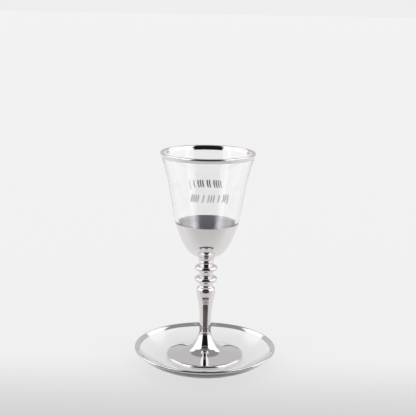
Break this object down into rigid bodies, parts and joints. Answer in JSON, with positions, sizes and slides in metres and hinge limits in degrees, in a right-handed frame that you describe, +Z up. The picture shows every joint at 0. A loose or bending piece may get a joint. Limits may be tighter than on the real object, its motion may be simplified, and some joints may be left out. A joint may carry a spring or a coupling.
{
  "type": "kiddush cup",
  "caption": "Tall-stemmed glass goblet with a silver-coated lower bowl, knopped stem and broad foot, resting on a shallow round glass dish with a coated rim.",
  "frame": {"origin": "centre of the dish's underside, on the surface that it stands on", "axes": "+Z up along the axis that the goblet and the dish share; -Y is the side that faces a viewer, +X is to the viewer's right"},
  "size_m": [0.1064, 0.1064, 0.1604],
  "materials": {
    "clear_glass": "clear pressed glass, polished",
    "silver_coat": "thin silver-coloured mirror coat on the glass"
  },
  "bodies": {
    "root": {"goblet": "clear_glass", "plate": "clear_glass"}
  },
  "joints": []
}
